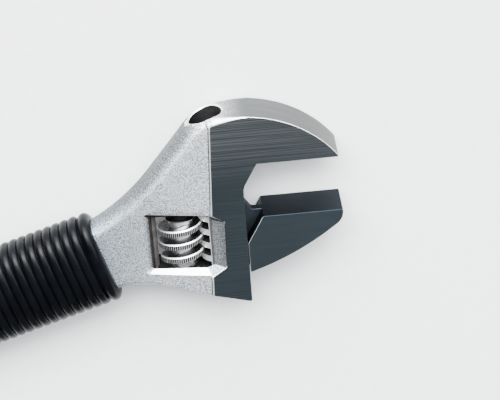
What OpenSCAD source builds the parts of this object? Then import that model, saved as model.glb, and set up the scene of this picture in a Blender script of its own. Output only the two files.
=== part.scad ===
// Adjustable wrench of the 200 mm class, lying on its back face. Millimetres.
// Origin: centre of the fixed jaw's gripping face, at mid-thickness.
// +X runs along the jaw faces to the tips, +Y is the way the jaw closes, +Z leaves the front face.

/* [Head] */
// Thickness of the ground plate that carries the fixed jaw and the slide
plate_t = 13.2; // [12.9:0.1:14]
// Thickness of the blasted casting beside the plate
cast_t = 12.5; // [12.2:0.1:12.8]
// Length of each gripping face
face_l = 23.2; // [22.5:0.1:24]
// Height of the fixed jaw's crescent above its gripping face
crescent_h = 14.6; // [14.2:0.1:15]
// Radius of the crescent
crescent_r = 34; // [32:0.5:34]
// Distance from the origin back to the edge that the movable jaw slides on
slide_edge = 15.7; // [15.6:0.1:16]
// Distance from the gripping face down to the lower corner of the slide
slide_l = 43.3; // [43:0.1:46]
// Angle of the throat's relief and of the movable jaw's slanted side to the faces
relief_angle = 60; // [58:1:60]
// Radius of the shoulder round the slide bore's mouth
shoulder_r = 15; // [9:0.5:15]
// Angle of the neck's upper edge to the faces
neck_angle = 50; // [48:1:52]
// Angle of the head's lower edge to the faces
base_angle = 15; // [14:1:16]

/* [Handle] */
// Angle between the handle and the jaw faces
handle_angle = 17; // [16:1:18]
// Distance of the handle's centre line below the origin
handle_drop = 9.65; // [9:0.05:10]
// Width of the steel handle inside the sleeve
tang_w = 20; // [19:0.5:21]
// Thickness of the steel handle inside the sleeve
tang_t = 9.8; // [9:0.1:10.4]
// Distance along the handle from the origin to the steel's end
tang_end = 172; // [165:1:174]
// Distance along the handle from the origin to the sleeve's front rim
sleeve_start = 61.4; // [60:0.1:63]
// Distance along the handle from the origin to the sleeve's rear end
sleeve_end = 193; // [190:1:200]
// Width of the sleeve over its ribs
sleeve_w = 27.4; // [26.4:0.1:28]
// Thickness of the sleeve over its ribs
sleeve_t = 17.4; // [16.4:0.1:18]
// Spacing of the sleeve's ribs
rib_pitch = 2.6; // [2.2:0.05:3]
// Height of a rib
rib_h = 1; // [0.5:0.1:1.1]
// Diameter of the hanging hole
hang_d = 8; // [6:0.5:9]

/* [Movable jaw] */
// Opening between the jaw faces in the pose drawn
opening = 16.4; // [12:0.1:18]
// Thickness of the jaw block
jaw_t = 13; // [12:0.1:13.2]
// Depth of the jaw block under the middle of its face
jaw_depth = 13.3; // [12.5:0.1:14]
// Thickness of the web that runs in the slot
web_t = 2.8; // [2.4:0.1:3.2]
// Diameter of the toothed rod
rod_d = 9.2; // [8.8:0.1:9.4]
// Distance from the origin back to the rod's axis
rod_x = 24.5; // [24.3:0.1:24.8]
// Length of the rod
rod_l = 27.6; // [26:0.1:29]
// Radial clearance of the rod in its bore
rod_play = 0.08; // [0.04:0.01:0.1]
// Depth of the rack's grooves
rack_depth = 2.9; // [2.6:0.1:3]

/* [Worm] */
// Distance from the origin back to the worm's axis
worm_x = 34.1; // [34:0.1:34.3]
// Diameter over the worm's thread
worm_d = 13.2; // [12.8:0.1:13.3]
// Diameter of the worm's core
core_d = 7.4; // [7:0.1:7.8]
// Pitch of the thread and of the rack
pitch = 4.15; // [4.1:0.05:4.2]
// Width of the thread's crest
crest_w = 1.8; // [1.6:0.1:1.9]
// Diameter of the worm's pin
pin_d = 3; // [2.6:0.1:3.2]
// Height of the window that holds the worm
window_h = 17.3; // [17.2:0.1:17.6]
// Width of the window
window_w = 17.5; // [17.2:0.1:17.8]
// How far its far wall slopes in to mid-thickness
window_draft = 1.5; // [0:0.1:1.6]

/* [Hidden] */
$fn = 96;
cut = 40;

// Head
face_x = face_l / 2;
relief_y = -(slide_edge - face_x) * tan(relief_angle);
tip_angle = 53.4; // between the gripping face and the crescent
throat_r = 5;
neck_r = 60;
base_r = 32;

// Movable jaw
face_y = -opening;
block_x = slide_edge - 0.2;
slant_x = face_x - 0.75;
slant_y = face_y - (block_x - slant_x) * tan(relief_angle);
heel_y = face_y - 17.4;
rod_r = rod_d / 2;
rod_top = face_y + 3.8;
bore_r = rod_r + rod_play;
slot_t = web_t + 0.2;
rack_floor = -rod_x - rod_r + rack_depth;
groove_w = pitch - 1.8;
mesh_y = -22.75;
rack_tilt = atan(pitch / (PI * (worm_d - 1)));

// Worm and its window
worm_r = worm_d / 2;
window_top = -14.6;
window_base = window_top - window_h;
window_left = -42.8;
window_right = window_left + window_w;
end_play = 0.1;
thread_from = -1.55;
thread_to = 1.1;
worm_top = -17.05; // upper end of the full core, above which only the neck goes on
collar_l = 1.3;
neck_d = 5.6;
flank = 0.08;
recess_turn = -6;
recess_z = 3.6;
pin_r = pin_d / 2;
pin_play = 0.06;
pin_head_r = 2.7;
pin_head_l = 2.2;
pin_base = -38.2;
pin_top = -7.6;
spring_wire_r = 0.3;
spring_r = pin_r + 0.7;
spring_pocket_r = spring_r + 0.65;
spring_l = 4;
spring_turns = 4;

// Handle
neck_in = 34;
neck_out = 58;
sleeve_round = (sleeve_w - sleeve_t) / 2;
bead_l = 3.8;
cap_t = 13;
cap_start = 174;
hang_s = 184;

// ---------- outlines ----------
function unit(v) = v / norm(v);
// Where the line through p at angle a meets the line through q at angle b.
function meet(p, a, q, b) =
    p + [cos(a), sin(a)] * cross(q - p, [cos(b), sin(b)]) / cross([cos(a), sin(a)], [cos(b), sin(b)]);
// Points of the round at corner b, whose third value is its radius, between corners a and c.
function corner(a, b, c) =
    let (
        at = [b.x, b.y],
        u = unit([a.x, a.y] - at),
        w = unit([c.x, c.y] - at),
        half = acos(u * w) / 2,
        mid = at + unit(u + w) * b.z / sin(half),
        start = at + u * b.z / tan(half) - mid,
        end = at + w * b.z / tan(half) - mid,
        from = atan2(start.y, start.x),
        sweep = (atan2(end.y, end.x) - from + 540) % 360 - 180,
        n = max(2, ceil(abs(sweep) / (b.z > 20 ? 3 : 10)))
    )
    [for (i = [0:n]) mid + b.z * [cos(from + sweep * i / n), sin(from + sweep * i / n)]];
// Closed outline through corners [x, y, r], each rounded to its radius.
function outline(v) =
    let (n = len(v))
    [for (i = [0:n - 1]) each (v[i].z == 0
        ? [[v[i].x, v[i].y]]
        : corner(v[(i + n - 1) % n], v[i], v[(i + 1) % n]))];
function rounded(p, r) = [p.x, p.y, r];
// Point at distance s along the handle and t below its centre line.
function on_handle(s, t) =
    [sin(handle_angle), -cos(handle_angle)] * (handle_drop + t)
    - [cos(handle_angle), sin(handle_angle)] * s;

shoulder = meet([0, crescent_h], 0, [-30.3, 11.2], neck_angle);
body_outline = outline([
    [-slide_edge, -slide_l, 0.5],
    [-slide_edge, relief_y, throat_r],
    [-face_x, 0, 0.3],
    [face_x, 0, 0.4],
    rounded(meet([face_x, 0], 180 - tip_angle, [0, crescent_h], 0), crescent_r),
    rounded(shoulder, shoulder_r),
    rounded(meet(shoulder, neck_angle, on_handle(0, -tang_w / 2), handle_angle), neck_r),
    rounded(on_handle(tang_end, -tang_w / 2), 4),
    rounded(on_handle(tang_end, tang_w / 2), 4),
    rounded(
        meet([-slide_edge, -slide_l], 180 - base_angle, on_handle(0, tang_w / 2), handle_angle),
        base_r
    )
]);
plate_side = [[-23.8, 20], [20, 20], [20, -50], [-27.5, -50]];
block_outline = outline([
    [face_x, face_y, 0.3],
    [-slant_x, face_y, 0.3],
    [-block_x, slant_y, 0.5],
    [-block_x, heel_y, 0.3],
    [-2.6, face_y - jaw_depth, 80],
    [face_x + 0.1, face_y - 3, 4.6]
]);
web_outline = [
    [-rod_x, rod_top - 0.8],
    [-slide_edge - 0.2, rod_top - 0.8],
    [-slide_edge + 2, face_y],
    [-slant_x + 2, face_y],
    [-slant_x + 2, face_y - 12],
    [-block_x, heel_y],
    [-slide_edge - 1.5, rod_top - rod_l],
    [-rod_x, rod_top - rod_l]
];

// ---------- helpers ----------
// Children with their z axis turned to +Y.
module along_y() rotate([-90, 0, 0]) children();
// Children in the handle's frame: x away from the head, z out of the front face.
module at_handle() translate(concat(on_handle(0, 0), 0)) rotate(180 + handle_angle) children();
// Solid of an outline in x and z, from y0 to y1.
module along_y_from(y0, y1, points) translate([0, y1, 0]) rotate([90, 0, 0]) linear_extrude(y1 - y0) polygon(points);
// Round bar along a coil: rings of 8 points round a helix about the y axis.
module coil(radius, wire_r, base, height, turns) {
    steps = turns * 14;
    sides = 8;
    points = [for (i = [0:steps], k = [0:sides - 1])
        let (
            turn = 360 * turns * i / steps,
            out = radius + wire_r * cos(360 * k / sides),
            rise = wire_r + (height - 2 * wire_r) * i / steps
        )
        [out * sin(turn), base + rise + wire_r * sin(360 * k / sides), out * cos(turn)]];
    walls = [for (i = [0:steps - 1], k = [0:sides - 1])
        let (next = (k + 1) % sides)
        [i * sides + k, i * sides + next, (i + 1) * sides + next, (i + 1) * sides + k]];
    first = [for (k = [0:sides - 1]) sides - 1 - k];
    last = [for (k = [0:sides - 1]) steps * sides + k];
    polyhedron(points, concat(walls, [first, last]), convexity = 8);
}

// ---------- wrench body ----------
// Blasted casting with the neck and the tang, before any hole is cut.
module casting() intersection() {
    linear_extrude(cast_t, center = true) polygon(body_outline);
    at_handle() rotate([90, 0, 0]) linear_extrude(4 * cut, center = true) polygon([
        [-cut, cast_t / 2], [neck_in, cast_t / 2], [neck_out, tang_t / 2], [tang_end + 1, tang_t / 2],
        [tang_end + 1, -tang_t / 2], [neck_out, -tang_t / 2], [neck_in, -cast_t / 2], [-cut, -cast_t / 2]
    ]);
}
module ground_plate() linear_extrude(plate_t, center = true) intersection() {
    polygon(body_outline);
    polygon(plate_side);
}
// Sloped recess round the window on the front face, turned a little against the jaw faces.
module recess() {
    mid = [(window_left + window_right) / 2, window_base + window_h / 2];
    translate(mid) rotate(recess_turn) intersection() {
        along_y_from(-cut, cut, [
            [-window_w / 2, recess_z], [-window_w / 2 - 2.6, 7],
            [window_w / 2 + 4.3, 7], [window_w / 2, 4.9], [window_w / 2, recess_z]
        ]);
        rotate([0, -90, 0]) linear_extrude(2 * cut, center = true) polygon([
            [recess_z, 0.7 - window_h / 2], [7, -1.3 - window_h / 2],
            [7, window_h / 2 + 0.4], [recess_z, window_h / 2 - 0.2]
        ]);
    }
}
module worm_window() {
    along_y_from(window_base, window_top, [
        [window_left, -plate_t], [window_right, -plate_t], [window_right, plate_t], [window_left, plate_t],
        [window_left, recess_z], [window_left + window_draft, 0], [window_left, -recess_z]
    ]);
    recess();
    mirror([0, 0, 1]) recess();
}
module slide_cut() {
    translate([-rod_x, -2 * cut, 0]) along_y() cylinder(r = bore_r, h = 3 * cut);
    translate([-rod_x, -2 * cut, -slot_t / 2]) cube([rod_x - face_x + 0.6, 2 * cut + 3.5, slot_t]);
}
module pin_cut() {
    translate([-worm_x, pin_base, 0]) along_y() cylinder(r = pin_r, h = pin_top - pin_base);
    translate([-worm_x, pin_base - cut, 0]) along_y() cylinder(r = pin_head_r, h = cut + pin_head_l);
}
module wrench_body() color("silver") difference() {
    union() {
        casting();
        ground_plate();
    }
    slide_cut();
    worm_window();
    pin_cut();
}

// ---------- movable jaw ----------
module rack_grooves() for (i = [-3:6])
    translate([-rod_x, mesh_y - pitch * i, 0]) rotate([rack_tilt, 0, 0])
        translate([-rod_d - rod_r + rack_depth, -groove_w / 2, -rod_d])
            cube([rod_d, groove_w, 2 * rod_d]);
module movable_jaw() color("slategray") {
    difference() {
        union() {
            linear_extrude(jaw_t, center = true) polygon(block_outline);
            linear_extrude(web_t, center = true) polygon(web_outline);
            translate([-rod_x, rod_top - rod_l, 0]) along_y() cylinder(r = rod_r, h = rod_l);
        }
        rack_grooves();
    }
}

// ---------- worm ----------
// Right-hand thread: one ridge wound round the y axis, its crest at mesh_y on the rack's side.
module thread() {
    steps_per_turn = 48;
    base_r = core_d / 2 - 0.3;
    half_base = crest_w / 2 + flank * (worm_r - base_r);
    profile = [[base_r, -half_base], [worm_r, -crest_w / 2], [worm_r, crest_w / 2], [base_r, half_base]];
    turns = thread_to - thread_from;
    steps = round(turns * steps_per_turn);
    points = [for (i = [0:steps], p = profile)
        let (turn = thread_from + turns * i / steps)
        [p.x * sin(90 + 360 * turn), mesh_y + pitch * turn + p.y, p.x * cos(90 + 360 * turn)]];
    walls = [for (i = [0:steps - 1], k = [0:3])
        let (next = (k + 1) % 4)
        [4 * i + k, 4 * i + next, 4 * (i + 1) + next, 4 * (i + 1) + k]];
    polyhedron(points, concat(walls, [[3, 2, 1, 0], [for (k = [0:3]) 4 * steps + k]]), convexity = 8);
}
module worm() color("lightgray") translate([-worm_x, 0, 0]) difference() {
    base = window_base + end_play;
    union() {
        translate([0, base, 0]) along_y() cylinder(d = core_d, h = worm_top - base);
        translate([0, base, 0]) along_y() cylinder(d = core_d + 1.2, h = 2);
        translate([0, worm_top - collar_l, 0]) along_y() cylinder(d = core_d + 0.8, h = collar_l);
        translate([0, base, 0]) along_y() cylinder(d = neck_d, h = window_h - 2 * end_play);
        thread();
    }
    translate([0, base - 1, 0]) along_y() cylinder(r = pin_r + pin_play, h = window_h + 2);
    translate([0, base - 1, 0]) along_y() cylinder(r = spring_pocket_r, h = 1 + spring_l);
}
module worm_pin() color("gray") translate([-worm_x, 0, 0]) difference() {
    union() {
        translate([0, pin_base, 0]) along_y() cylinder(r = pin_r, h = pin_top - pin_base);
        translate([0, pin_base, 0]) along_y() cylinder(r = pin_head_r, h = pin_head_l);
    }
    translate([-0.4, pin_base - 1, -pin_head_r]) cube([0.8, 1.9, 2 * pin_head_r]);
}
module worm_spring() color("dimgray") translate([-worm_x, 0, 0])
    coil(spring_r, spring_wire_r, window_base + 0.02, spring_l + end_play - 0.05, spring_turns);

// ---------- grip sleeve ----------
// Half-thickness profile of the sleeve along the handle: bead, ribs, plain band, cap.
function rib(s, thick) = [
    [s, thick / 2 - rib_h], [s + 0.3 * rib_pitch, thick / 2 - 0.15],
    [s + 0.5 * rib_pitch, thick / 2], [s + 0.7 * rib_pitch, thick / 2 - 0.15]
];
rib_start = sleeve_start + bead_l;
rib_count = floor((cap_start - rib_start) / rib_pitch);
sleeve_profile = concat(
    [
        [sleeve_start, 0], [sleeve_start, sleeve_t / 2 - 1],
        [sleeve_start + 0.7, sleeve_t / 2 - 0.15], [sleeve_start + 1.9, sleeve_t / 2],
        [sleeve_start + 3.1, sleeve_t / 2 - 0.15]
    ],
    [for (i = [0:rib_count - 1]) each rib(rib_start + i * rib_pitch, sleeve_t)],
    [
        [rib_start + rib_count * rib_pitch, sleeve_t / 2 - rib_h], [cap_start + 5, cap_t / 2],
        [sleeve_end - 3.5, cap_t / 2], [sleeve_end - 1.2, cap_t / 2 - 1.2], [sleeve_end, cap_t / 2 - 3.5],
        [sleeve_end, 0]
    ]
);
module sleeve_side() rotate([0, 90, 0]) rotate_extrude(angle = 180)
    polygon([for (p = sleeve_profile) [p.y, p.x]]);
module sleeve_outer() at_handle() {
    rotate([90, 0, 0]) linear_extrude(2 * sleeve_round, center = true)
        polygon(concat(sleeve_profile, [for (i = [len(sleeve_profile) - 2:-1:1])
            [sleeve_profile[i].x, -sleeve_profile[i].y]]));
    translate([0, sleeve_round, 0]) sleeve_side();
    translate([0, -sleeve_round, 0]) mirror([0, 1, 0]) sleeve_side();
}
module grip_sleeve() color("black") difference() {
    sleeve_outer();
    casting();
    at_handle() translate([hang_s, 0, 0]) cylinder(d = hang_d, h = cut, center = true);
}

wrench_body();
movable_jaw();
worm();
worm_pin();
worm_spring();
grip_sleeve();
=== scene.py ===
import math

import bmesh
import bpy
import numpy as np
from mathutils import Matrix, Vector
from mathutils.geometry import delaunay_2d_cdt


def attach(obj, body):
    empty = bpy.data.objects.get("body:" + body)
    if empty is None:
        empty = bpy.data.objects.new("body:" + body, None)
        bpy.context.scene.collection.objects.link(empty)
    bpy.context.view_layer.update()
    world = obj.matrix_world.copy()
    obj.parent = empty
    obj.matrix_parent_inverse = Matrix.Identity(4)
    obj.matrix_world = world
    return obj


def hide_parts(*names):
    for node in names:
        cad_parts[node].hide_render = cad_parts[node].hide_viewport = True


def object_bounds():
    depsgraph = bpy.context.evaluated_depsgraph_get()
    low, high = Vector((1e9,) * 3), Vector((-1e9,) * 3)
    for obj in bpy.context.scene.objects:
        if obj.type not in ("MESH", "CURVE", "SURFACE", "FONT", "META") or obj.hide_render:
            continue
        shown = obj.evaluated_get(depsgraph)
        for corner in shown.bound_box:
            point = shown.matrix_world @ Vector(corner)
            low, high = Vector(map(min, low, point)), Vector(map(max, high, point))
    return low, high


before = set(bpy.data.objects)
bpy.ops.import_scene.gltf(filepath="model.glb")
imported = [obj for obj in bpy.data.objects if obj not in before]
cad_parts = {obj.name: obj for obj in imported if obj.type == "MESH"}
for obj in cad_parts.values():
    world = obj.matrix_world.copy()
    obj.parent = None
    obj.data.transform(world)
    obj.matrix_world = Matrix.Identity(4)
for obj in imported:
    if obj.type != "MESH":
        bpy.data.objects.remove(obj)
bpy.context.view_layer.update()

MM = 0.001

# ---------- sizes of the design, in millimetres ----------
PLATE_Z = 6.6           # half thickness of the ground plate
CAST_Z = 6.25           # half thickness of the blasted casting
TANG_Z = 4.9            # half thickness of the steel in the sleeve
NECK_IN, NECK_OUT = 30.0, 60.0    # where along the handle the casting thins
FACE_X = 11.6           # half length of a gripping face
SLIDE_X = -15.7         # edge that the jaw slides on
SLIDE_Y = -43.3         # lower end of that edge
CREST_Y = 14.6          # top of the crescent
HANDLE_LEAN = 17        # degrees between the handle and the jaw faces
HANDLE = math.radians(HANDLE_LEAN)
HANDLE_DROP = 9.65
NECK_LEAN = 50          # degrees of the casting's back from the jaw faces
TIP_LEAN = 53.4         # degrees between the fixed jaw's face and the crescent
HEEL_LEAN = 15          # degrees of the heel from the jaw faces
RELIEF = math.tan(math.radians(60))    # slope of both jaws behind their faces
TANG_W = 20.0
TANG_END = 172.0
ROD_X, ROD_R, BORE_R = -24.5, 4.6, 4.68
ROD_TOP, ROD_L = -12.6, 27.6
WORM_X, WORM_R, CORE_R = -34.1, 6.6, 3.7
PITCH, MESH_Y = 4.15, -22.75
WEB_Z = 1.4             # half thickness of the jaw's web
RACK_TOOTH = 1.8        # width of a rack tooth
WORM_TOP = -17.05       # upper end of the worm's full core
RACK_DEPTH = 2.9
WINDOW_TOP, WINDOW_BASE = -14.6, -31.9
FACE_Y = -16.4          # movable jaw's gripping face at rest
JAW_Z = 6.5
SLEEVE_START, SLEEVE_END = 61.4, 193.0


# ---------- outlines ----------
def polar(centre, radius, angle):
    return centre + radius * Vector((math.cos(angle), math.sin(angle)))


def on_handle(s, t):
    """Point s along the handle's centre line and t below it."""
    across = Vector((math.sin(HANDLE), -math.cos(HANDLE))) * (HANDLE_DROP + t)
    return across - Vector((math.cos(HANDLE), math.sin(HANDLE))) * s


def meet(p, a, q, b):
    """Where the line through p at angle a, in degrees, meets the line through q at angle b."""
    u = Vector((math.cos(math.radians(a)), math.sin(math.radians(a))))
    w = Vector((math.cos(math.radians(b)), math.sin(math.radians(b))))
    return p + u * (q - p).cross(w) / u.cross(w)


def corner_arc(before, at, after, radius, pieces):
    """Points of the arc of a radius that rounds the corner at a point; pieces is a number or a rule."""
    u = (before - at).normalized()
    w = (after - at).normalized()
    half = u.angle(w) / 2
    centre = at + (u + w).normalized() * radius / math.sin(half)
    start = at + u * radius / math.tan(half) - centre
    turn = -start.angle_signed(at + w * radius / math.tan(half) - centre, 0)
    first = math.atan2(start.y, start.x)
    count = pieces(abs(turn), radius)
    return [polar(centre, radius, first + turn * k / count) for k in range(count + 1)]


def rounded(corners, step=1.2, arc_step=0.14):
    """Closed outline through (point, radius) corners, sampled about every step millimetres."""
    def pieces(turn, radius):
        return max(3, math.ceil(turn / arc_step), math.ceil(turn * radius / step))

    places = [Vector(at) for at, _ in corners]
    loop = []
    for i, (_, radius) in enumerate(corners):
        at, after = places[i], places[(i + 1) % len(places)]
        loop += corner_arc(places[i - 1], at, after, radius, pieces) if radius else [at]
    dense = []
    for i, p in enumerate(loop):
        q = loop[(i + 1) % len(loop)]
        count = max(1, math.ceil((q - p).length / step))
        dense += [p.lerp(q, k / count) for k in range(count)]
    return dense


def inward(loop):
    """Unit normals that point into a loop drawn anticlockwise."""
    n = len(loop)
    normals = []
    for i in range(n):
        a = (loop[i] - loop[i - 1]).normalized()
        b = (loop[(i + 1) % n] - loop[i]).normalized()
        t = (a + b).normalized()
        normals.append(Vector((-t.y, t.x)) / max(0.5, t.dot(a)))
    return normals


def smoothstep(low, high, x):
    t = min(1.0, max(0.0, (x - low) / (high - low)))
    return t * t * (3 - 2 * t)


# ---------- mesh helpers ----------
def new_object(name, bm):
    """Object of a bmesh in millimetres, with outward normals."""
    bmesh.ops.remove_doubles(bm, verts=bm.verts, dist=1e-4)
    bmesh.ops.recalc_face_normals(bm, faces=bm.faces)
    bmesh.ops.scale(bm, vec=(MM, MM, MM), verts=bm.verts)
    mesh = bpy.data.meshes.new(name)
    bm.to_mesh(mesh)
    bm.free()
    obj = bpy.data.objects.new(name, mesh)
    bpy.context.scene.collection.objects.link(obj)
    return obj


def from_rings(name, rings):
    """Solid whose skin runs through rings of points and is closed by the first and last rings."""
    bm = bmesh.new()
    rows = [[bm.verts.new(p) for p in ring] for ring in rings]
    for a, b in zip(rows, rows[1:]):
        for i in range(len(a)):
            j = (i + 1) % len(a)
            bm.faces.new((a[i], a[j], b[j], b[i]))
    bm.faces.new(rows[0])
    bm.faces.new(rows[-1])
    return new_object(name, bm)


def lathe(name, x, profile, steps=96):
    """Profile of (radius, y) turned round the line at x along y."""
    turns = [2 * math.pi * i / steps for i in range(steps)]
    return from_rings(name, [[(x + r * math.sin(a), y, r * math.cos(a)) for a in turns] for r, y in profile])


def block(name, low, high):
    bm = bmesh.new()
    bmesh.ops.create_cube(bm, size=1)
    for v in bm.verts:
        v.co = Vector([low[k] + (v.co[k] + 0.5) * (high[k] - low[k]) for k in range(3)])
    return new_object(name, bm)


def apply_modifiers(obj):
    depsgraph = bpy.context.evaluated_depsgraph_get()
    mesh = bpy.data.meshes.new_from_object(obj.evaluated_get(depsgraph))
    obj.modifiers.clear()
    obj.data = mesh


def combine(obj, tools, operation="DIFFERENCE"):
    """Cuts the tools from the object, or joins them to it, in one step, and removes them."""
    group = bpy.data.collections.new("tools")
    for tool in tools:
        group.objects.link(tool)
    change = obj.modifiers.new("combine", "BOOLEAN")
    change.operand_type = "COLLECTION"
    change.collection = group
    change.operation = operation
    change.solver = "EXACT"
    apply_modifiers(obj)
    for tool in tools:
        bpy.data.objects.remove(tool)
    bpy.data.collections.remove(group)


def finish_shading(obj, sharp_degrees=32):
    """Smooth faces that meet under the angle, crisp edges over it, and flat faces kept flat."""
    bm = bmesh.new()
    bm.from_mesh(obj.data)
    bmesh.ops.remove_doubles(bm, verts=bm.verts, dist=2e-7)
    bmesh.ops.dissolve_degenerate(bm, edges=bm.edges, dist=1e-7)
    limit = math.radians(sharp_degrees)
    for face in bm.faces:
        face.smooth = True
    for edge in bm.edges:
        edge.smooth = len(edge.link_faces) == 2 and edge.calc_face_angle(0) < limit
    bm.to_mesh(obj.data)
    bm.free()
    weighted = obj.modifiers.new("weighted", "WEIGHTED_NORMAL")
    weighted.keep_sharp = True
    weighted.weight = 80
    apply_modifiers(obj)


# ---------- materials ----------
def node_material(name, metallic, roughness):
    mat = bpy.data.materials.new(name)
    mat.use_nodes = True
    tree = mat.node_tree
    shader = tree.nodes["Principled BSDF"]
    shader.inputs["Metallic"].default_value = metallic
    shader.inputs["Roughness"].default_value = roughness
    return mat, tree, shader


def noise(tree, scale, stretch=(1, 1, 1), detail=2.0, roughness=0.5):
    """Noise in the part's own coordinates; scale is in cells per metre."""
    place = tree.nodes.new("ShaderNodeTexCoord")
    mapping = tree.nodes.new("ShaderNodeMapping")
    mapping.inputs["Scale"].default_value = stretch
    texture = tree.nodes.new("ShaderNodeTexNoise")
    texture.inputs["Scale"].default_value = scale
    texture.inputs["Detail"].default_value = detail
    texture.inputs["Roughness"].default_value = roughness
    tree.links.new(place.outputs["Object"], mapping.inputs["Vector"])
    tree.links.new(mapping.outputs["Vector"], texture.inputs["Vector"])
    return texture.outputs["Fac"]


def ramp(tree, value, stops):
    """Colour ramp over a value; stops are (position, grey or colour)."""
    node = tree.nodes.new("ShaderNodeValToRGB")
    tree.links.new(value, node.inputs["Fac"])
    elements = node.color_ramp.elements
    while len(elements) < len(stops):
        elements.new(0.5)
    for element, (position, colour) in zip(elements, stops):
        colour = (colour,) * 3 if isinstance(colour, float) else colour
        element.position = position
        element.color = (*colour, 1)
    return node.outputs["Color"]


MIX_A, MIX_B, MIX_RESULT = 6, 7, 2      # the Mix node's colour sockets


def multiply(tree, a, b):
    node = tree.nodes.new("ShaderNodeMix")
    node.data_type = "RGBA"
    node.blend_type = "MULTIPLY"
    node.inputs[0].default_value = 1.0
    tree.links.new(a, node.inputs[MIX_A])
    tree.links.new(b, node.inputs[MIX_B])
    return node.outputs[MIX_RESULT]


def add_bump(tree, shader, layers):
    """Bump from (value, height in metres) layers, one after another."""
    last = None
    for value, height in layers:
        bump = tree.nodes.new("ShaderNodeBump")
        bump.inputs["Strength"].default_value = 1.0
        bump.inputs["Distance"].default_value = height
        tree.links.new(value, bump.inputs["Height"])
        if last:
            tree.links.new(last, bump.inputs["Normal"])
        last = bump.outputs["Normal"]
    tree.links.new(last, shader.inputs["Normal"])


def gradient(tree, source, axis, start, end):
    """0 to 1 as one axis of a texture coordinate goes from start to end, eased at both ends."""
    place = tree.nodes.new("ShaderNodeTexCoord")
    split = tree.nodes.new("ShaderNodeSeparateXYZ")
    span = tree.nodes.new("ShaderNodeMapRange")
    span.interpolation_type = "SMOOTHSTEP"
    span.inputs["From Min"].default_value = start
    span.inputs["From Max"].default_value = end
    tree.links.new(place.outputs[source], split.inputs["Vector"])
    tree.links.new(split.outputs[axis], span.inputs["Value"])
    return span.outputs["Result"]


def along(tree, axis, start, end):
    """0 to 1 as the part's own coordinate on an axis goes from start to end, in millimetres."""
    return gradient(tree, "Object", axis, start * MM, end * MM)


def facing(tree, axis, start, end):
    """0 to 1 as the surface's own normal on an axis goes from start to end."""
    return gradient(tree, "Normal", axis, start, end)


def blend_by(tree, share, a, b):
    """Colour a where share is 0 and colour b where it is 1."""
    node = tree.nodes.new("ShaderNodeMix")
    node.data_type = "RGBA"
    tree.links.new(share, node.inputs[0])
    tree.links.new(a, node.inputs[MIX_A])
    tree.links.new(b, node.inputs[MIX_B])
    return node.outputs[MIX_RESULT]


def shade(colour, share):
    """The colour, made lighter or darker by a share."""
    return tuple(c * share for c in colour)


def forged_skin(name, level=1.0, foot_shade_share=1.0):
    """Satin chrome: speckled where the casting is sand-blasted, and brushed along the crescent's rim;
    painted shade darkens the neck, faces turned towards -x and the far slope's foot, and a painted dark
    reflection darkens the rim towards the tip.

    level scales the speckle, and foot_shade_share is the share of light that the painted shade leaves at the
    foot of the far slope.
    """
    mat, tree, shader = node_material(name, 1.0, 0.42)
    shader.inputs["Specular Tint"].default_value = (0.8, 0.8, 0.8, 1)
    grain = noise(tree, 3100, detail=2, roughness=0.55)
    sparkle = noise(tree, 5200, detail=1)
    cloud = noise(tree, 70, detail=2)
    tones = (0.42, (0.24, 0.26, 0.28)), (0.51, (0.64, 0.68, 0.73)), (0.60, (1.0, 1.0, 1.0))
    speckle = ramp(tree, grain, [(place, shade(tone, level)) for place, tone in tones])
    glints = ramp(tree, sparkle, [(0.36, 0.70), (0.58, 1.0)])
    drift = ramp(tree, cloud, [(0.30, 0.84), (0.70, 1.0)])
    blasted = multiply(tree, multiply(tree, speckle, glints), drift)
    lines = noise(tree, 1, (70, 70, 4200), detail=2)
    brushed = ramp(tree, lines, [(0.38, (0.066, 0.070, 0.072)), (0.62, (0.104, 0.108, 0.109))])
    # painted reflection: the brushed rim darkens towards the jaw's tip
    tip_painted_reflection = ramp(tree, along(tree, "X", -10, 12), [(0.0, 1.0), (1.0, (0.45, 0.42, 0.39))])
    brushed = multiply(tree, brushed, tip_painted_reflection)
    on_rim = along(tree, "X", -25, -13)
    # painted shade: the speckle darkens towards the neck
    neck = ramp(tree, along(tree, "X", -60, -38), [(0.0, (0.52, 0.59, 0.62)), (1.0, 1.0)])
    # painted shade: faces turned towards -x are darkened
    flank = ramp(tree, facing(tree, "X", -0.75, -0.15), [(0.0, 0.26), (1.0, 1.0)])
    # painted shade: the far slope darkens towards its foot
    slope = ramp(tree, along(tree, "X", -44.6, -42.4), [(0.0, 1.0), (1.0, foot_shade_share)])
    for falloff in (neck, flank, slope):
        blasted = multiply(tree, blasted, falloff)
    tree.links.new(blend_by(tree, on_rim, blasted, brushed), shader.inputs["Base Color"])
    rough = ramp(tree, grain, [(0.35, 0.68), (0.65, 0.52)])
    smooth = ramp(tree, lines, [(0.30, 0.40), (0.70, 0.30)])
    tree.links.new(blend_by(tree, on_rim, rough, smooth), shader.inputs["Roughness"])
    pits = ramp(tree, grain, [(0.0, 0.0), (1.0, 1.0)])
    scratches = ramp(tree, lines, [(0.0, 0.0), (1.0, 0.06)])
    height = blend_by(tree, on_rim, pits, scratches)
    add_bump(tree, shader, [(cloud, 0.00004), (height, 0.00008)])
    return mat


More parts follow.
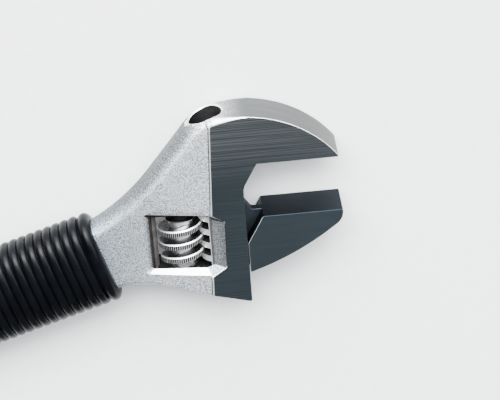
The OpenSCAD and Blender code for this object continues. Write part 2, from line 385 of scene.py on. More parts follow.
def ground_steel(name, tint, streak, painted_lift=0.0, edge=1.0):
    """Dark ground steel with fine streaks along x; lift is painted light that brightens it towards the
    crescent.

    edge is how much it reflects at a glancing angle.
    """
    mat, tree, shader = node_material(name, 1.0, 0.36)
    shader.inputs["Specular Tint"].default_value = (edge, edge, edge, 1)
    fine = noise(tree, 1, (45, 8000, 45), detail=2)
    coarse = noise(tree, 1, (22, 4200, 22), detail=2, roughness=0.6)
    cloud = noise(tree, 26, detail=1)
    dark = shade(tint, 1 - 0.28 * streak)
    light = shade(tint, 1 + 0.4 * streak)
    base = ramp(tree, coarse, [(0.34, dark), (0.52, tint), (0.70, light)])
    neutral = [c * share for c, share in zip(tint, (1.12, 0.98, 0.92))]
    # painted light: these tones are raised by the lift and blended in towards +y, brightening the plate
    # towards the crescent
    trough = shade(neutral, 1 - 0.9 * streak + painted_lift)
    crest = shade(neutral, 1 + 2.0 * streak + painted_lift)
    bright = ramp(tree, coarse, [(0.42, trough), (0.58, crest)])
    base = blend_by(tree, along(tree, "Y", -9, 9), base, bright)
    streaks = ramp(tree, fine, [(0.42, 1 - 0.4 * streak), (0.56, 1.0)])
    drift = ramp(tree, cloud, [(0.30, 0.82), (0.70, 1.0)])
    tree.links.new(multiply(tree, multiply(tree, base, streaks), drift), shader.inputs["Base Color"])
    tree.links.new(ramp(tree, coarse, [(0.30, 0.44), (0.70, 0.30)]), shader.inputs["Roughness"])
    add_bump(tree, shader, [(coarse, 0.000005 * streak), (fine, 0.000002 * streak)])
    return mat


def turned_steel(name, light, roughness, tint=(1.0, 1.0, 1.0)):
    """Steel turned on a lathe: fine rings round y."""
    mat, tree, shader = node_material(name, 1.0, roughness)
    rings = noise(tree, 1, (200, 4200, 200), detail=2)
    cloud = noise(tree, 160, detail=2)
    base = ramp(tree, rings, [(0.30, shade(tint, 0.7 * light)), (0.70, shade(tint, light))])
    grime = ramp(tree, cloud, [(0.34, 0.80), (0.60, 1.0)])
    tree.links.new(multiply(tree, base, grime), shader.inputs["Base Color"])
    rough = ramp(tree, cloud, [(0.30, roughness + 0.12), (0.70, roughness)])
    tree.links.new(rough, shader.inputs["Roughness"])
    add_bump(tree, shader, [(rings, 0.000004)])
    return mat


def grip_rubber():
    """Black moulded sleeve with a soft gloss and a fine skin."""
    mat, tree, shader = node_material("grip_rubber", 0.0, 0.42)
    shader.inputs["Specular IOR Level"].default_value = 0.08
    skin = noise(tree, 3200, detail=3)
    wear = noise(tree, 120, detail=3)
    base = ramp(tree, wear, [(0.30, (0.0006, 0.0007, 0.0010)), (0.75, (0.0014, 0.0016, 0.0024))])
    tree.links.new(base, shader.inputs["Base Color"])
    tree.links.new(ramp(tree, wear, [(0.30, 0.24), (0.70, 0.34)]), shader.inputs["Roughness"])
    add_bump(tree, shader, [(skin, 0.000012), (wear, 0.00003)])
    return mat


BLASTED = forged_skin("forged_skin")
# painted shade: a darker copy of the skin for the recess's slope turned towards -x
SHADED_SLOPE = forged_skin("forged_skin_near_slope_painted_shade", 0.62)
# painted shade: a copy of the skin that darkens at the far slope's foot
SHADED_FAR_SLOPE = forged_skin("forged_skin_far_slope_painted_shade", foot_shade_share=0.16)
# painted light: the plate is brightened towards the crescent
GROUND = ground_steel("ground_steel", (0.074, 0.093, 0.105), 0.5, 0.45)
JAW_STEEL = ground_steel("jaw_steel", (0.068, 0.086, 0.100), 0.12)
# painted shade: a much darker copy of the jaw's steel for its faces turned towards +y
JAW_SHADED_STEEL = ground_steel("jaw_steel_painted_shade", (0.016, 0.021, 0.026), 0.2, edge=0.62)
# painted shade: near-black steel for the bore, the slot, the window, the recess's top slope and the rack's
# grooves
DARK_SHADE = turned_steel("machined_painted_shade", 0.06, 0.42)
# near-white steel for broken edges: wear, and a painted highlight along rounds, lips and the rack's lands
EDGE_WEAR_AND_HIGHLIGHT = turned_steel("broken_edge_wear_and_highlight", 0.95, 0.45)
# painted shade: near-black for the knurl's notches, and painted shadow on the worm's top end under the
# window's edge
NOTCH_SHADE = turned_steel("notch_painted_shade", 0.03, 0.5)
WORM_STEEL = turned_steel("worm_steel", 0.85, 0.18)
# painted shade: a darker copy of the worm's steel for the thread's flanks
FLANK_SHADE = turned_steel("worm_flank_painted_shade", 0.26, 0.20)
# painted shade: a dim, brown-tinted copy of the steel for the window's left wall
WALL_SHADE = turned_steel("window_wall_painted_shade", 0.30, 0.5, (1.0, 0.90, 0.84))
KNURL = turned_steel("worm_knurl", 0.97, 0.36)
PIN_STEEL = turned_steel("pin_steel", 0.42, 0.28)
ROD_STEEL = turned_steel("rod_steel", 0.30, 0.30)
RUBBER = grip_rubber()


def paint(obj, materials, choose):
    """Gives each face the material that choose(centre in mm, normal) picks from the list."""
    obj.data.materials.clear()
    for mat in materials:
        obj.data.materials.append(mat)
    for face in obj.data.polygons:
        face.material_index = materials.index(choose(face.center / MM, face.normal))


# ---------- wrench body ----------
# Ends of the line where the plate meets the casting
EDGE_TOP = Vector((-24.23, 12.0))
EDGE_BASE = Vector((-27.03, -40.0))
STEP_W = 0.35           # width of the step between them
WORN_W = 0.3            # width of the plate's bright edge, worn and with a painted highlight
CRISP_ROUND = 0.16      # round of the crescent, the fixed jaw, the slide's edge and the tang's end
CRISP_END = -13.5       # x where the crescent's crisp round stops
CAST_ROUND = 0.42       # round of the casting's edge from there on, before it swells towards the neck


def beyond_edge(x, y):
    """Distance in x to the right of the line between the casting and the plate."""
    share = (y - EDGE_BASE.y) / (EDGE_TOP.y - EDGE_BASE.y)
    return x - (EDGE_BASE.x + share * (EDGE_TOP.x - EDGE_BASE.x))


def along_handle(x, y):
    return -x * math.cos(HANDLE) - y * math.sin(HANDLE)


def face_height(x, y):
    """Half thickness of the body's flat faces."""
    cast = CAST_Z + (TANG_Z - CAST_Z) * smoothstep(NECK_IN, NECK_OUT, along_handle(x, y))
    return cast + (PLATE_Z - cast) * smoothstep(0, STEP_W, beyond_edge(x, y))


def edge_round(p, normal):
    """How far the round of the body's edge runs in over the face, and how deep down the side."""
    height = face_height(p.x, p.y)
    if normal.y < -0.2 and p.x < SLIDE_X + 0.5 and p.y < -30:
        blend = smoothstep(-26, -52, p.x)
        return 0.35 + 2.0 * blend, 0.35 + (height - 1.5) * 0.9 * blend
    if p.x > CRISP_END or normal.x < -0.9 or p.y < 0 and p.x > -30:
        return CRISP_ROUND, CRISP_ROUND
    blend = smoothstep(CRISP_END, -25.5, p.x)
    neck = smoothstep(-24, -34, p.x)
    run = CAST_ROUND + 1.9 * blend + 0.9 * neck
    drop = CAST_ROUND + 2.4 * blend + (height - 3.4) * neck
    return run, drop


SHOULDER = meet(Vector((0, CREST_Y)), 0, Vector((-30.3, 11.2)), NECK_LEAN)
BODY_CORNERS = [
    ((SLIDE_X, SLIDE_Y), 0.5),
    ((SLIDE_X, (SLIDE_X + FACE_X) * RELIEF), 5),
    ((-FACE_X, 0), 0.3),
    ((FACE_X, 0), 0.4),
    (meet(Vector((FACE_X, 0)), 180 - TIP_LEAN, Vector((0, CREST_Y)), 0), 34),
    (SHOULDER, 15),
    (meet(SHOULDER, NECK_LEAN, on_handle(0, -TANG_W / 2), HANDLE_LEAN), 60),
    (on_handle(TANG_END, -TANG_W / 2), 4),
    (on_handle(TANG_END, TANG_W / 2), 4),
    (meet(Vector((SLIDE_X, SLIDE_Y)), 180 - HEEL_LEAN, on_handle(0, TANG_W / 2), HANDLE_LEAN), 32),
]


def inside(p, loop):
    """True if p lies in the loop."""
    hit = False
    for i, a in enumerate(loop):
        b = loop[i - 1]
        if (a.y > p.y) != (b.y > p.y) and p.x < (b.x - a.x) * (p.y - a.y) / (b.y - a.y) + a.x:
            hit = not hit
    return hit


def neck_points(loop):
    """Points in rows across the neck, where the casting thins."""
    points = []
    for s in np.arange(NECK_IN - 4, NECK_OUT + 6, 2.0):
        for t in np.arange(-26, 26, 2.5):
            p = on_handle(s, t)
            clear = min((p - q).length for q in loop) > 1.2
            if clear and beyond_edge(p.x, p.y) < -0.8 and inside(p, loop):
                points.append(p)
    return points


def step_lines(loop):
    """Lines of points along the plate's step and its worn edge."""
    lines = []
    for side in (0, STEP_W / 2, STEP_W, STEP_W + WORN_W):
        ends = [EDGE_BASE + Vector((side, 0)), EDGE_TOP + Vector((side, 0))]
        row = [ends[0].lerp(ends[1], share) for share in np.linspace(-0.1, 1.1, 60)]
        lines.append([p for p in row if inside(p, loop) and min((p - q).length for q in loop) > 0.25])
    return lines


def with_step_points(loop):
    """Adds points where the inner edge of the round crosses either side of the plate's step."""
    normals = inward(loop)
    dense = []
    for i, (p, n) in enumerate(zip(loop, normals)):
        dense.append(p)
        q, m = loop[(i + 1) % len(loop)], normals[(i + 1) % len(loop)]
        ends = []
        for at, normal in ((p, n), (q, m)):
            inner = at + normal * edge_round(at, -normal)[0]
            ends.append(beyond_edge(inner.x, inner.y))
        gap = ends[1] - ends[0]
        shares = [(side - ends[0]) / gap for side in (0, STEP_W, STEP_W + WORN_W) if gap]
        dense += [p.lerp(q, share) for share in sorted(shares) if 0.02 < share < 0.98]
    return dense


def body_blank():
    """Casting and plate in one skin: flat faces, rounds that change along the edge, and side walls."""
    rounds = 9
    loop = with_step_points(rounded(BODY_CORNERS))
    normals = inward(loop)
    bm = bmesh.new()
    rows = [[] for _ in range(rounds + 1)]
    for p, n in zip(loop, normals):
        run, drop = edge_round(p, -n)
        height = face_height(p.x + n.x * run, p.y + n.y * run)
        for k, row in enumerate(rows):
            angle = math.pi / 2 * k / rounds
            q = p + n * run * (1 - math.cos(angle))
            row.append((q.x, q.y, height - drop * (1 - math.sin(angle))))
    inner = [Vector(p[:2]) for p in rows[-1]]
    count = len(inner)
    points = inner + neck_points(inner)
    edges = [(i, (i + 1) % count) for i in range(count)]
    for line in step_lines(inner):
        edges += [(len(points) + i, len(points) + i + 1) for i in range(len(line) - 1)]
        points += line
    points, _, faces, *_ = delaunay_2d_cdt(points, edges, [], 1, 1e-5)
    sides = []
    for side in (1, -1):
        made = [[bm.verts.new((x, y, side * z)) for x, y, z in row] for row in rows]
        sides.append(made[0])
        for a, b in zip(made, made[1:]):
            for i in range(count):
                j = (i + 1) % count
                bm.faces.new((a[i], a[j], b[j], b[i]))
        extra = [bm.verts.new((p.x, p.y, side * face_height(p.x, p.y))) for p in points[count:]]
        cap = made[-1] + extra
        for face in faces:
            bm.faces.new([cap[i] for i in face])
    top, bottom = sides
    for i in range(count):
        j = (i + 1) % count
        bm.faces.new((top[i], top[j], bottom[j], bottom[i]))
    return new_object("body", bm)


# Corners of the sloped recess at the face, and of the window's mouth under it: x, y, radius and z.
RECESS_OUT = [(-44.2, -13.0, 0.9), (-25.9, -15.0, 0.4), (-21.7, -16.9, 0.8), (-22.2, -31.4, 0.8),
              (-26.3, -34.1, 0.8), (-45.1, -31.9, 1.4)]
RECESS_IN = [(-42.9, -14.5, 0.5, 4.4), (-25.9, -15.5, 0.3, 4.5), (-25.3, -17.0, 0.4, 4.85),
             (-25.4, -31.0, 0.4, 4.85), (-27.3, -32.0, 0.4, 4.6), (-43.0, -30.9, 0.6, 4.4)]
RECESS_X, RECESS_Y = (-46, -20), (-35, -12)     # area that holds the recess
LIP = 0.22              # bright broken edge of the recess: wear and a painted highlight
LIP_X = -40             # it starts to the right of this x
WINDOW_Z = 4.4          # half depth of the window under the recess
WINDOW_LEFT, WINDOW_RIGHT = -40.95, -25.3       # the left wall's place is at mid-thickness
WINDOW_DRAFT = 1.6      # how far the left wall slopes away to the mouth
WALL_SHARE = 0.7        # share of the window's half depth over which the left wall takes the dim, brown-tinted painted shade rather than the near-black one
SLOT_Z = 1.5            # half width of the slot for the jaw's web
PIN_HOLE_R, PIN_HOLE_BASE, PIN_HOLE_TOP = 1.5, -38.2, -7.6
PIN_MOUTH_R, PIN_MOUTH_TOP = 2.75, -36.0        # counterbore for the pin's head
FAR = 60                # beyond the head on every side
TOUCH = 0.02            # a face's centre this near a surface lies on it


def recess_tool(side):
    """Loft from the window's mouth out past the face, with a small chamfer at the top."""
    arc = 5
    outer = [Vector((x, y)) for x, y, _ in RECESS_OUT]
    inner = [Vector((x, y)) for x, y, _, _ in RECESS_IN]
    rings = [[] for _ in range(5)]
    for i in range(len(outer)):
        j = (i + 1) % len(outer)
        top = face_height(outer[i].x, outer[i].y)
        mouth = corner_arc(inner[i - 1], inner[i], inner[j], RECESS_IN[i][2], lambda turn, radius: arc)
        edge = corner_arc(outer[i - 1], outer[i], outer[j], RECESS_OUT[i][2], lambda turn, radius: arc)
        for p, q in zip(mouth, edge):
            away = (q - p).normalized()
            width = LIP if q.x > LIP_X else 0.05
            lip, out, under = q + away * width, q + away * 1.3, p - away * 0.05
            rings[0].append((under.x, under.y, side * (WINDOW_Z - 0.1)))    # overlaps the window's cutter
            rings[1].append((p.x, p.y, side * RECESS_IN[i][3]))
            rings[2].append((q.x, q.y, side * (top - width)))
            rings[3].append((lip.x, lip.y, side * (top + 0.04)))
            rings[4].append((out.x, out.y, side * (top + 0.7)))
    return from_rings("recess", rings)


def window_tool():
    """Cutter for the window, whose left wall slopes in to mid-thickness."""
    rings = []
    for share in (-1, -WALL_SHARE, 0, WALL_SHARE, 1):
        left = WINDOW_LEFT - WINDOW_DRAFT * abs(share)
        low, high = (WINDOW_RIGHT, WINDOW_BASE), (WINDOW_RIGHT, WINDOW_TOP)
        corners = [(left, WINDOW_BASE), low, high, (left, WINDOW_TOP)]
        rings.append([(x, y, share * WINDOW_Z) for x, y in corners])
    return from_rings("window", rings)


def mouth_tool(skin, x, radius, side, width=0.42):
    """Cutter that breaks the edge of a bore along y where it leaves the skin; side is +1 for its top."""
    turns = [2 * math.pi * i / 96 for i in range(96)]
    heights = []
    for a in turns:
        start = Vector((x + radius * math.sin(a), side * FAR, radius * math.cos(a))) * MM
        heights.append(skin.ray_cast(start, Vector((0, -side, 0)))[1].y / MM)
    middle = sum(heights) / len(heights)
    rings = []
    shape = ((-0.5, -1.2 * width), (0, -width), (width, 0), (1.2, 1.2 - width))
    for out, rise in (shape[0], *shape, shape[-1]):
        closing = len(rings) in (0, len(shape) + 1)
        r = 0.02 if closing else radius + out
        rings.append([(x + r * math.sin(a), (middle if closing else at) + side * rise, r * math.cos(a))
                      for a, at in zip(turns, heights)])
    return from_rings("mouth", rings)


def recess_material(at, normal, height):
    """Material in the window, on its recess and on the recess's edge, or None beside them; painted shade in
    the window and on the slopes, and a painted highlight with wear on the edge.
    """
    if abs(at.z) < WINDOW_Z + 0.05:
        # painted shade: the window's left wall takes the dim, brown-tinted steel, its other walls the
        # near-black
        return WALL_SHADE if normal.x > 0.5 and abs(at.z) < WALL_SHARE * WINDOW_Z else DARK_SHADE
    on_lip = height - LIP - TOUCH < abs(at.z) < height - TOUCH and 0.3 < abs(normal.z) < 0.96
    if on_lip and at.x > LIP_X:
        # painted highlight, with wear, on the recess's lip
        return EDGE_WEAR_AND_HIGHLIGHT
    if abs(normal.z) < 0.97 and abs(at.z) < height - 0.1:
        # painted shadow under the recess's top edge
        if normal.y < -0.35 and at.y > -18:
            return DARK_SHADE
        if abs(normal.x) > 0.35:
            # painted shade on both slopes: the darker copy, and the copy darkened at its foot
            return SHADED_SLOPE if normal.x < 0 else SHADED_FAR_SLOPE
    return None


def body_material(at, normal):
    """Material of the body at a face's centre."""
    on_plate = abs(at.z) > PLATE_Z - TOUCH
    on_jaw_face = abs(at.y) < 0.05 and normal.y < -0.9
    on_slide = normal.x > 0.95 and at.x > SLIDE_X - 0.5
    if on_plate or on_jaw_face or on_slide:
        # the strip beside the plate's step takes the bright edge steel: wear and a painted highlight
        return GROUND if beyond_edge(at.x, at.y) - STEP_W > WORN_W else EDGE_WEAR_AND_HIGHLIGHT
    from_bore = math.hypot(at.x - ROD_X, at.z)
    in_bore = from_bore < BORE_R + TOUCH and abs(normal.y) < 0.3
    in_slot = abs(at.z) < SLOT_Z + 0.1 and ROD_X < at.x < -10 and abs(normal.z) > 0.5
    if in_bore or in_slot:
        # painted shade in the bore and the slot
        return DARK_SHADE
    if RECESS_X[0] < at.x < RECESS_X[1] and RECESS_Y[0] < at.y < RECESS_Y[1]:
        material = recess_material(at, normal, face_height(at.x, at.y))
        if material:
            return material
    on_mouth = at.y > 5 and from_bore < BORE_R + 0.4 and normal.y > 0.2
    on_crest = at.y > 0.3 and at.x > -23 and 0.25 < abs(normal.z) < 0.97
    # painted highlight, with wear, on the bore's mouth and the crescent's round
    return EDGE_WEAR_AND_HIGHLIGHT if on_mouth or on_crest else BLASTED


def build_body():
    body = body_blank()
    bpy.context.view_layer.update()
    combine(body, [
        mouth_tool(body, ROD_X, BORE_R, 1),
        mouth_tool(body, ROD_X, BORE_R, -1, 0.3),
        lathe("bore", ROD_X, [(BORE_R, -FAR), (BORE_R, 30)], 128),
        block("slot", (ROD_X, -FAR, -SLOT_Z), (-11.0, 3.5, SLOT_Z)),
        window_tool(),
        recess_tool(1),
        recess_tool(-1),
        lathe("pin_hole", WORM_X, [(PIN_HOLE_R, PIN_HOLE_BASE), (PIN_HOLE_R, PIN_HOLE_TOP)], 48),
        lathe("pin_mouth", WORM_X, [(PIN_MOUTH_R, -FAR), (PIN_MOUTH_R, PIN_MOUTH_TOP)], 64),
    ])
    finish_shading(body)
    paint(body, [BLASTED, GROUND, DARK_SHADE, EDGE_WEAR_AND_HIGHLIGHT, SHADED_SLOPE, WALL_SHADE, SHADED_FAR_SLOPE], body_material)
    body.name = "body_forging"
    return body


# ---------- movable jaw ----------
def soft_prism(name, corners, half, run):
    """Rounded outline drawn out to z plus and minus half, with its edges rounded by run."""
    loop = rounded(corners)
    normals = inward(loop)
    rings = []
    for side in (-1, 1):
        part = []
        for angle in [math.pi / 2 * k / 4 for k in range(5)]:
            inset = [p + n * run * (1 - math.cos(angle)) for p, n in zip(loop, normals)]
            part.append([(p.x, p.y, side * (half - run * (1 - math.sin(angle)))) for p in inset])
        rings += part[::-1] if side < 0 else part
    return from_rings(name, rings)


def build_jaw():
    side_x, slant_x = SLIDE_X + 0.2, -FACE_X + 0.75
    slant_y = FACE_Y - (slant_x - side_x) * RELIEF
    heel_y = FACE_Y - 17.4
    jaw = soft_prism("jaw", [
        ((side_x, heel_y), 0.3), ((-2.6, FACE_Y - 13.3), 80), ((FACE_X + 0.1, FACE_Y - 3), 4.6),
        ((FACE_X, FACE_Y), 0.3), ((slant_x, FACE_Y), 0.3), ((side_x, slant_y), 0.5)], JAW_Z, 0.14)
    foot = ROD_TOP - ROD_L
    web = soft_prism("web", [
        ((ROD_X, foot + 0.4), 0), ((SLIDE_X - 1.5, foot + 0.4), 0.5), ((side_x, heel_y), 0),
        ((slant_x + 2, FACE_Y - 12), 0), ((slant_x + 2, FACE_Y - 0.02), 0),
        ((SLIDE_X + 2, FACE_Y - 0.02), 1.2),
        ((SLIDE_X - 0.2, ROD_TOP - 0.8), 0.6), ((ROD_X, ROD_TOP - 0.8), 0)], WEB_Z, 0.2)
    rod = lathe("rod", ROD_X, [
        (0.01, foot), (ROD_R - 0.5, foot), (ROD_R, foot + 0.5), (ROD_R, ROD_TOP - 0.5),
        (ROD_R - 0.5, ROD_TOP), (0.01, ROD_TOP)])
    combine(jaw, [web, rod], "UNION")
    grooves = []
    width = PITCH - RACK_TOOTH
    for i in range(-3, 7):
        groove = block("groove", (-ROD_R * 3, -width / 2, -9), (-ROD_R + RACK_DEPTH, width / 2, 9))
        tilt = Matrix.Rotation(math.atan(PITCH / (math.pi * (2 * WORM_R - 1))), 4, "X")
        place = Matrix.Translation(Vector((ROD_X, MESH_Y - PITCH * i, 0)) * MM)
        groove.data.transform(place @ tilt)
        grooves.append(groove)
    combine(jaw, grooves)
    finish_shading(jaw)

    def choose(at, normal):
        if at.x < SLIDE_X - 3:
            from_axis = math.hypot(at.x - ROD_X, at.z)
            if at.x > ROD_X - ROD_R + RACK_DEPTH:
                return JAW_STEEL if from_axis > ROD_R + 0.05 else ROD_STEEL
            # the rack's lands take the bright edge steel, a painted highlight with wear, and its grooves
            # painted shade
            return EDGE_WEAR_AND_HIGHLIGHT if from_axis > ROD_R - 0.05 else DARK_SHADE
        on_edge = 0.25 < abs(normal.z) < 0.97 and abs(at.z) > JAW_Z - 0.2
        if on_edge and at.x < slant_x and at.y < FACE_Y - 0.3:
            # painted highlight, with wear, on the jaw's slanted edge
            return EDGE_WEAR_AND_HIGHLIGHT
        # painted shade: faces turned towards +y take the darker copy of the steel
        return JAW_SHADED_STEEL if normal.y > 0.25 else JAW_STEEL

    paint(jaw, [JAW_STEEL, DARK_SHADE, EDGE_WEAR_AND_HIGHLIGHT, JAW_SHADED_STEEL, ROD_STEEL], choose)
    jaw.name = "sliding_jaw"
    return jaw


# ---------- worm ----------
def build_worm():
    """Right-hand thread with a chamfered, knurled crest, wound on a stepped core."""
    notches, steps = 68, 6
    first, last = -1.55, 1.1
    count = round((last - first) * notches * steps)
    base_r, half, base_half = CORE_R - 0.3, 0.9, 1.15
    notch = 0.32
    rings = []
    for i in range(count + 1):
        turn = first + (last - first) * i / count
        fade = min(1.0, i / (8 * steps), (count - i) / (8 * steps))
        tip = base_r + (WORM_R - base_r) * (0.5 + 0.5 * math.sin(math.pi / 2 * fade))
        cut = notch if i % steps > steps // 2 - 1 else 0.0
        profile = [(base_r, -base_half), (tip - 0.15 - 0.5 * cut, -half), (tip - cut, 0.15 - half),
                   (tip - cut, half - 0.38), (tip, half - 0.31), (tip - 0.28, half), (base_r, base_half)]
        angle = math.pi / 2 + 2 * math.pi * turn
        rings.append([(WORM_X + r * math.sin(angle), MESH_Y + PITCH * turn + y, r * math.cos(angle))
                      for r, y in profile])
    thread = from_rings("thread", rings)
    low, high = WINDOW_BASE + 0.1, WINDOW_TOP - 0.1
    core = lathe("core", WORM_X, [
        (1.0, low), (4.0, low), (4.3, low + 0.3), (4.3, low + 1.7), (4.05, low + 2.0), (CORE_R, low + 2.1),
        (CORE_R, WORM_TOP - 1.3), (3.95, WORM_TOP - 1.25), (4.1, WORM_TOP - 1.1), (4.1, WORM_TOP - 0.2),
        (3.9, WORM_TOP), (2.8, WORM_TOP), (2.8, high - 0.3), (2.5, high), (1.0, high)])
    combine(core, [thread], "UNION")
    hole_r, pocket_r, pocket_l = 1.56, 2.85, 4      # running hole, and the spring's pocket
    combine(core, [lathe("axle_hole", WORM_X, [(hole_r, low - 2), (hole_r, high + 2)], 48),
                   lathe("pocket", WORM_X, [(pocket_r, low - 2), (pocket_r, low + pocket_l)], 48)])
    finish_shading(core, 28)

    def choose(at, normal):
        out = math.hypot(at.x - WORM_X, at.z)
        in_notch = WORM_R - notch - 0.12 < out < WORM_R - notch * 0.45 and abs(normal.y) < 0.4
        # painted shade in the notches and painted shadow on the worm's top end
        if in_notch or at.y > WORM_TOP - 0.1:
            return NOTCH_SHADE
        if out > WORM_R - notch:
            return KNURL
        # painted shade: the flanks take the darker copy of the worm's steel
        return FLANK_SHADE if abs(normal.y) > 0.85 and out > CORE_R else WORM_STEEL

    paint(core, [WORM_STEEL, NOTCH_SHADE, FLANK_SHADE, KNURL], choose)
    core.name = "knurled_worm"
    return core


# ---------- grip sleeve ----------
BEAD_L, BEAD_H, RIB_PITCH, RIB_H = 3.8, 2.3, 2.6, 1.0
END_ROUND, END_DROP = 5.5, 4.6          # length and height of the rounded rear end
CAP_START, CAP_Z = 174.0, 6.5
CAP_GAP, CAP_TAPER = 0.4, 5.0          # flat after the last rib, and the taper down to the cap
HANG_S, HANG_R = 184.0, 4.0
SLEEVE_HALF_W, SLEEVE_HALF_T = 13.7, 8.7
RIB_COUNT = int((CAP_START - SLEEVE_START - BEAD_L) / RIB_PITCH)


def sleeve_stations():
    """Stations (s, inset) along the sleeve; inset is measured in from the ribs' crests."""
    stations = []
    for k in range(9):
        a = math.pi * k / 8
        stations.append((SLEEVE_START + BEAD_L / 2 - BEAD_L / 2 * math.cos(a), BEAD_H * (1 - math.sin(a))))
    start = SLEEVE_START + BEAD_L
    stations = [(s, min(inset, RIB_H) if s > start - 1.5 else inset) for s, inset in stations]
    for i in range(RIB_COUNT):
        for k in range(8):
            a = math.pi * (k + 0.5) / 8
            place = start + (i + 0.5 - 0.5 * math.cos(a)) * RIB_PITCH
            stations.append((place, RIB_H * (1 - math.sin(a) ** 0.8)))
    end = start + RIB_COUNT * RIB_PITCH
    drop = SLEEVE_HALF_T - CAP_Z
    for k in range(7):
        u = k / 6
        stations.append((end + CAP_GAP + u * CAP_TAPER, RIB_H + (drop - RIB_H) * smoothstep(0, 1, u)))
    for k in range(9):
        a = math.pi / 2 * k / 8
        place = SLEEVE_END - END_ROUND + END_ROUND * math.sin(a)
        stations.append((place, drop + END_DROP * (1 - math.cos(a))))
    return stations


def sleeve_section(s, inset):
    """Closed oval section of the sleeve, at s along the handle."""
    sides = 112
    cap = smoothstep(CAP_START - 2, CAP_START + 6, s)
    wide = SLEEVE_HALF_W - inset + 1.2 * cap
    thick = SLEEVE_HALF_T - inset
    power = 2 / (2.5 + 0.9 * cap)
    ring = []
    for i in range(sides):
        a = 2 * math.pi * i / sides
        c, d = math.cos(a), math.sin(a)
        t = wide * math.copysign(abs(c) ** power, c)
        p = on_handle(s, t)
        ring.append((p.x, p.y, thick * math.copysign(abs(d) ** power, d)))
    return ring


def build_sleeve():
    sleeve = from_rings("sleeve", [sleeve_section(s, inset) for s, inset in sleeve_stations()])
    centre = on_handle(HANG_S, 0)
    flare = 1.0
    wide = HANG_R + 3
    profile = [(wide, -12), (wide, -CAP_Z - flare * 1.6), (HANG_R + flare, -CAP_Z),
               (HANG_R + 0.3 * flare, -CAP_Z + 0.3 * flare), (HANG_R, -CAP_Z + flare)]
    profile += [(r, -z) for r, z in profile[::-1]]
    turns = [2 * math.pi * i / 64 for i in range(64)]
    hole = from_rings("hang", [[(centre.x + r * math.cos(a), centre.y + r * math.sin(a), z) for a in turns]
                               for r, z in profile])
    combine(sleeve, [body_blank()])
    combine(sleeve, [hole])
    finish_shading(sleeve, 50)
    paint(sleeve, [RUBBER], lambda at, normal: RUBBER)
    sleeve.name = "ribbed_sleeve"
    return sleeve


# ---------- assembly ----------
body = build_body()
jaw = build_jaw()
worm = build_worm()
sleeve = build_sleeve()
for piece, owner, node, slot in (
        (body, "frame", "wrench_body", "forged_steel"), (jaw, "jaw", "movable_jaw", "ground_steel"),
        (worm, "worm", "worm", "polished_steel"), (sleeve, "frame", "grip_sleeve", "grip_rubber")):
    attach(piece, owner)
    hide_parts(node)
for node in ("worm_pin", "worm_spring"):
    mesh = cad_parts[node]
    for slot in mesh.material_slots:
        slot.material = PIN_STEEL

# ---------- stage ----------
# The room's brightness is the product of these: axis, from and to on it, and the share at each end.
WORLD_SPANS = [
    ("Y", 0.05, 0.90, 0.6, 20.0),
    ("X", -0.9, -0.25, 0.12, 1.0),
    ("X", 0.35, 0.95, 1.0, 0.4),
    ("Z", -0.05, 0.25, 0.45, 1.0),
]
FLOOR_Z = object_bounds()[0][2]


def build_floor():
    bpy.ops.mesh.primitive_plane_add(size=6, location=(0, 0, FLOOR_Z))
    floor = bpy.context.object
    floor.name = "floor"
    mat, tree, shader = node_material("floor_paper", 0.0, 0.9)
    tone = ramp(tree, noise(tree, 300, detail=2), [(0.3, 0.70), (0.7, 0.73)])
    tree.links.new(tone, shader.inputs["Base Color"])
    floor.data.materials.append(mat)


def area_light(name, at, target, size, power):
    data = bpy.data.lights.new(name, "AREA")
    data.shape = "RECTANGLE"
    data.size, data.size_y = size
    data.energy = power
    lamp = bpy.data.objects.new(name, data)
    lamp.location = at
    lamp.rotation_euler = (Vector(target) - Vector(at)).to_track_quat("-Z", "Y").to_euler()
    bpy.context.scene.collection.objects.link(lamp)


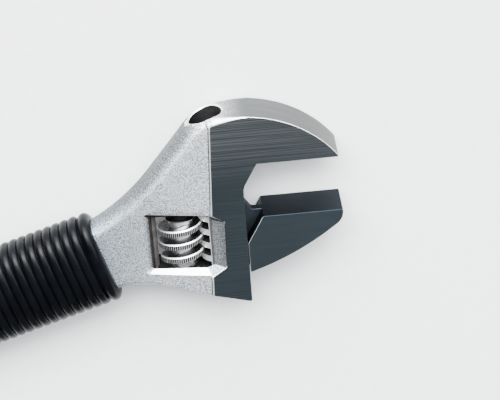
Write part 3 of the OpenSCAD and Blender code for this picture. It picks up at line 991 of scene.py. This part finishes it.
def build_world():
    """Soft room: bright towards +Y, dim overhead and towards -Y, and dimmer to both sides and low down."""
    world = bpy.data.worlds.new("studio")
    bpy.context.scene.world = world
    world.use_nodes = True
    tree = world.node_tree
    background = tree.nodes["Background"]
    place = tree.nodes.new("ShaderNodeTexCoord")
    split = tree.nodes.new("ShaderNodeSeparateXYZ")
    tree.links.new(place.outputs["Generated"], split.inputs["Vector"])
    light = None
    for axis, start, end, low_share, high_share in WORLD_SPANS:
        span = tree.nodes.new("ShaderNodeMapRange")
        span.interpolation_type = "SMOOTHSTEP"
        span.inputs["From Min"].default_value = start
        span.inputs["From Max"].default_value = end
        span.inputs["To Min"].default_value = low_share
        span.inputs["To Max"].default_value = high_share
        tree.links.new(split.outputs[axis], span.inputs["Value"])
        if light:
            times = tree.nodes.new("ShaderNodeMath")
            times.operation = "MULTIPLY"
            tree.links.new(light, times.inputs[0])
            tree.links.new(span.outputs["Result"], times.inputs[1])
            light = times.outputs[0]
        else:
            light = span.outputs["Result"]
    background.inputs["Color"].default_value = (0.93, 0.97, 1.0, 1)
    tree.links.new(light, background.inputs["Strength"])


def build_camera():
    """Camera at the photograph's angle: 63 degrees over the floor, from the jaw's closing side."""
    lean, side, roll = math.radians(27), math.radians(1.5), math.radians(4.6)
    back = Vector((-math.sin(side) * math.cos(lean), math.sin(lean), math.cos(side) * math.cos(lean)))
    right = Vector((0, 1, 0)).cross(back).normalized()
    up = back.cross(right)
    turned = right * math.cos(roll) - up * math.sin(roll)
    up = up * math.cos(roll) + right * math.sin(roll)
    target = Vector((-0.014141, -0.010843, 0.0066))
    distance = 0.61111
    data = bpy.data.cameras.new("camera")
    data.lens = 158.4
    data.sensor_width = 36
    data.clip_start, data.clip_end = 0.01, 20
    camera = bpy.data.objects.new("camera", data)
    matrix = Matrix((turned, up, back)).transposed().to_4x4()
    matrix.translation = target + back * distance
    camera.matrix_world = matrix
    bpy.context.scene.collection.objects.link(camera)
    bpy.context.scene.camera = camera


build_floor()
build_world()
build_camera()
HEAD = (-0.03, -0.01, 0)    # where both lamps point, in metres
area_light("key", (-0.15, 0.8, 0.75), HEAD, (1.0, 0.5), 40)
area_light("side", (0.8, 0.2, 0.7), HEAD, (0.5, 0.7), 6)
